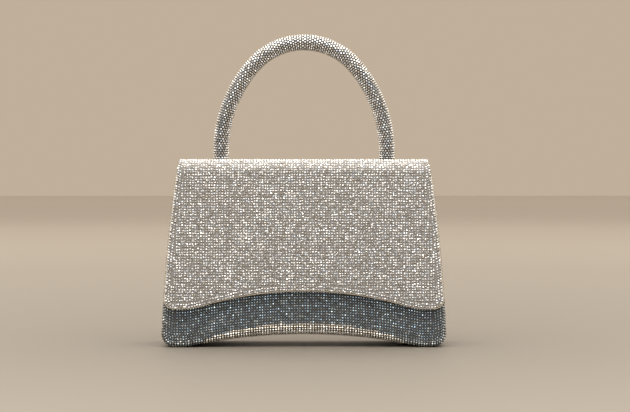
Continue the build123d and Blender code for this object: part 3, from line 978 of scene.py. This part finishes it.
def add_stitches(name, line, out):
    """Row of thread stitches along a line of surface points."""
    half_step = (stitch_length + stitch_gap) / 2
    rows = resample(np.hstack([line, out]), half_step, half_step, dims=3)
    points, faces = [], []
    round_sides, rings = 6, 5
    for start, end in zip(rows[:-1:2], rows[1::2]):
        middle = (start[:3] + end[:3]) / 2
        ahead = end[:3] - start[:3]
        ahead /= np.linalg.norm(ahead)
        normal = start[3:6] / np.linalg.norm(start[3:6])
        across = np.cross(normal, ahead)
        first = len(points)
        for ring in np.linspace(-1, 1, rings):
            bulge = sqrt(max(1 - ring**2, 0.03))
            radius = stitch_radius * bulge
            centre = middle + ahead * ring * stitch_length / 2 + normal * radius / 2
            for turn in np.arange(round_sides) * 2 * pi / round_sides:
                points.append(centre + (across * cos(turn) + normal * sin(turn)) * radius)
        faces += grid_faces(rings, round_sides, first, closed=True)
        faces.append(tuple(first + i for i in range(round_sides - 1, -1, -1)))
        faces.append(tuple(first + (rings - 1) * round_sides + i for i in range(round_sides)))
    return add_mesh(name, np.array(points), faces, thread)


def path_out(path):
    """Directions square to a plan path, to its right."""
    ahead = np.gradient(path[:, :2], axis=0)
    ahead /= np.linalg.norm(ahead, axis=1)[:, None]
    return np.stack([ahead[:, 1], -ahead[:, 0], 0 * ahead[:, 0]], axis=1)


rim_seam = rim_path(rim_binding_inset, 4.4)
settle(add_stitches("rim_stitches", rim_seam, -path_out(rim_seam)), "bag", "rim_leather")


def stitch_lining(name, corners, body):
    """Stitches round a lining on the inside of the wrap, through a loop of x, s corners."""
    loop = resample(np.vstack([corners, corners[:1]]), outline_step, 0.0)
    points, out = wrap_surface(loop[:, 0], loop[:, 1])
    settle(add_stitches(name, points - out * lining_high, -out), body, "lining")


flap_seam = flap_edge[:, :2] - flap_edge[:, 2:] * stitch_inset
flap_seam = flap_seam[flap_seam[:, 1] < flap_top_z * stretch - stitch_inset]
stitch_lining("flap_lining_stitches", both_halves(flap_seam, (-1, 1)), "flap")
lid_half = half_width_top - flap_inset - stitch_inset
lid_low, lid_high = s_lid_front + stitch_inset, s_lid_back - stitch_inset
lid_corners = [(lid_half, lid_low), (lid_half, lid_high), (-lid_half, lid_high)]
stitch_lining("lid_lining_stitches", np.array([(-lid_half, lid_low), *lid_corners]), "lid")

# ---- slip pocket ----
pocket_u, pocket_v = np.meshgrid(np.linspace(-1, 1, 62), np.linspace(0, 1, 40))
pocket_half, pocket_top = pocket_width / 2, pocket_low + pocket_height
pocket_x = pocket_u * pocket_half
pocket_z = pocket_low + pocket_v * pocket_height
pocket_lift, pocket_rounding = 1.5, 4.5
hem_height, hem_lift = 7.0, 0.45
border = np.minimum(pocket_half - np.abs(pocket_x), pocket_z - pocket_low)
waves = 0.25 * np.sin(pocket_v * 3) * np.cos(pocket_u * 4)
lift = pocket_lift * np.clip(border / pocket_rounding, 0, 1) ** 0.6 + waves
hem = np.clip(pocket_z - pocket_top + hem_height, 0, 1) * hem_lift
pocket_points, pocket_out = panel_surface(pocket_x, pocket_z, 1)
pocket_points = pocket_points - pocket_out * (lining_high + seam + lift + hem)[..., None]
pocket = add_slab("slip_pocket_cloth", (pocket_points, -pocket_out), -0.7, 0.05, twill)
settle(pocket, "bag", "lining", "slip_pocket")
seam_x, seam_low = pocket_half - 1.6, pocket_low + 1.6
pocket_seam = [(-seam_x, pocket_top), (-seam_x, seam_low), (seam_x, seam_low), (seam_x, pocket_top)]
seam_line = resample(np.array(pocket_seam), outline_step, 0.0)
seam_points, seam_out = panel_surface(seam_line[:, 0], seam_line[:, 1], 1)
seam_points = seam_points - seam_out * (lining_high + 1.75)
settle(add_stitches("pocket_stitches", seam_points, -seam_out), "bag", "lining")

# ---- handle ----
top_centre = handle_rise - handle_straight - handle_top_radius
leg_reach = handle_half_span**2 + top_centre**2 - handle_top_radius**2
leg_radius = leg_reach / (2 * (handle_half_span - handle_top_radius))
leg_centre = handle_half_span - leg_radius
leg_angle = atan2(top_centre, -leg_centre)


def handle_line():
    """X, Z and the outward direction along the handle, from the right foot to the left one."""
    leg = arc((leg_centre, 0), leg_radius, 0, leg_angle)
    top = arc((0, top_centre), handle_top_radius, leg_angle, pi - leg_angle)
    right = straight((handle_half_span, 0.1 - handle_straight), (handle_half_span, 0), (1, 0))
    left = np.vstack([right, leg])[::-1] * (-1, 1, -1, 1)
    line = joined([right, leg, top, left])
    line[:, 1] += height + handle_straight
    return line


def handle_rings(radius, line, turns):
    """Rings of points round the handle's line and their outward directions."""
    out = np.stack([line[:, 2], 0 * line[:, 2], line[:, 3]], axis=1)
    depth = np.array([0.0, 1.0, 0.0])
    ray = out[:, None, :] * np.cos(turns)[..., None] + depth * np.sin(turns)[..., None]
    centre = np.stack([line[:, 0], np.full(len(line), handle_y), line[:, 1]], axis=1)
    return centre[:, None, :] + radius * ray, ray


stones_round, ring_pitch = 16, 1.62
sleeve_sides, sleeve_step = 28, 1.4
handle_path = handle_line()
stone_line = resample(handle_path, ring_pitch, 1.0)
turns = np.arange(stones_round) * 2 * pi / stones_round
turns = turns + (np.arange(len(stone_line)) % 2)[:, None] * pi / stones_round
ring_points, ring_out = (rows.reshape(-1, 3) for rows in handle_rings(handle_radius, stone_line, turns))
handle_set = {"size": 1.66, "tilt": 0.04, "shift": 0.02, "share": 0.6}
stones = add_stones("handle_stones", ring_points, ring_out, handle_finishes, 31, **handle_set)
settle(stones, "lid", "handle_crystals")
sleeve_line = resample(handle_path, sleeve_step, 0.0)
sleeve_turns = np.arange(sleeve_sides) * -2 * pi / sleeve_sides
outer_rings, _ = handle_rings(handle_radius - cloth_depth, sleeve_line, sleeve_turns)
inner_rings, _ = handle_rings(core_radius, sleeve_line, sleeve_turns)
tube = np.vstack([outer_rings, inner_rings[::-1], outer_rings[:1]])
sleeve = add_sweep("handle_sleeve_cloth", tube, dark_cloth, closed_path=True)
settle(sleeve, "lid", "handle_crystals", "handle_crystal_sleeve")

# ---- studio ----
# Painted light: the floor's colour grows paler with distance from the bag, making up for the lamps'
# light falling off far away; near the bag it is darker.
floor_finish, tree, shader = new_material("pale_floor", (0.3, 0.25, 0.2), 0.6)
distance = tree.nodes.new("ShaderNodeVectorMath")
distance.operation = "LENGTH"
place = tree.nodes.new("ShaderNodeTexCoord")
tree.links.new(place.outputs["Object"], distance.inputs[0])
reach = tree.nodes.new("ShaderNodeMapRange")
reach.inputs["From Max"].default_value = 6.0
tree.links.new(distance.outputs["Value"], reach.inputs["Value"])
floor_tone_and_painted_light = add_ramp(
    tree,
    reach.outputs["Result"],
    [
        (0.03, (0.145, 0.125, 0.10)),
        (0.17, (0.23, 0.198, 0.158)),
        (0.45, (0.49, 0.42, 0.337)),
        (1.0, (0.62, 0.53, 0.425)),
    ],
)
tree.links.new(floor_tone_and_painted_light, shader.inputs["Base Color"])
floor_corners = [(-9000, -9000, 0), (9000, -9000, 0), (9000, 9000, 0), (-9000, 9000, 0)]
add_mesh("floor", floor_corners, [(0, 1, 2, 3)], floor_finish, smooth=False)

# The world is a warm wall behind and beside the bag and a dimmer, cooler room in front of it.
world = bpy.data.worlds.new("studio")
world.use_nodes = True
bpy.context.scene.world = world
tree = world.node_tree
place = tree.nodes.new("ShaderNodeTexCoord")
split = tree.nodes.new("ShaderNodeSeparateXYZ")
tree.links.new(place.outputs["Generated"], split.inputs["Vector"])
depth = tree.nodes.new("ShaderNodeMapRange")
depth.inputs["From Min"].default_value = -1.0
depth.inputs["From Max"].default_value = 1.0
tree.links.new(split.outputs["Y"], depth.inputs["Value"])
wall_colour = (0.53, 0.43, 0.325)
sky = add_ramp(
    tree,
    depth.outputs["Result"],
    [
        (0.0, (0.50, 0.54, 0.58)),
        (0.02, (0.46, 0.50, 0.54)),
        (0.06, (0.27, 0.30, 0.34)),
        (0.2, (0.32, 0.325, 0.33)),
        (0.5, (0.80, 0.74, 0.66)),
        (0.75, (0.74, 0.64, 0.53)),
    ],
)
ray = tree.nodes.new("ShaderNodeLightPath")
mix = tree.nodes.new("ShaderNodeMix")
mix.data_type = "RGBA"
first_colour, second_colour, mixed_colour = 6, 7, 2     # the node's colour sockets
tree.links.new(ray.outputs["Is Camera Ray"], mix.inputs["Factor"])
tree.links.new(sky, mix.inputs[first_colour])
mix.inputs[second_colour].default_value = (*wall_colour, 1)
tree.links.new(mix.outputs[mixed_colour], tree.nodes["Background"].inputs["Color"])


def add_aimed(name, data, place, target=(0, 0, 0.09)):
    """Light or camera placed and aimed at a point, in metres."""
    thing = bpy.data.objects.new(name, data)
    thing.location = place
    thing.rotation_euler = (Vector(target) - Vector(place)).to_track_quat("-Z", "Y").to_euler()
    bpy.context.scene.collection.objects.link(thing)
    return thing


def add_light(name, place, size, radiance, colour):
    """Rectangular area light of a given brightness, aimed at the bag, in metres."""
    data = bpy.data.lights.new(name, "AREA")
    data.shape = "RECTANGLE"
    data.size, data.size_y = size
    data.energy = radiance * pi * size[0] * size[1]
    data.color = colour
    add_aimed(name, data, place).visible_camera = False


add_light("overhead", (0, 0.0, 1.7), (4.0, 3.0), 2.7, (1.0, 0.975, 0.94))
add_light("high_front", (0, -2.2, 1.2), (3.0, 1.2), 1.9, (1.0, 0.98, 0.95))
add_light("upper_front", (0, -0.8, 1.5), (3.0, 0.55), 4.6, (1.0, 0.97, 0.93))
# Upright strips in front: x, width and radiance.
strips = [(-1.1, 0.22, 2.4), (-0.35, 0.16, 2.0), (0.4, 0.16, 2.0), (1.2, 0.22, 1.8)]
for number, (x, width, radiance) in enumerate(strips):
    add_light(f"strip_{number}", (x, -2.4, 0.75), (width, 1.5), radiance, (0.95, 0.98, 1.0))

camera_data = bpy.data.cameras.new("camera")
camera_data.lens = 99.9
camera_data.sensor_width = 36
camera_place, camera_aim = (0.0, -1.2, 0.1156), (0.0076, 0.0, 0.095)
bpy.context.scene.camera = add_aimed("camera", camera_data, camera_place, camera_aim)
bpy.context.scene.view_settings.view_transform = "Standard"
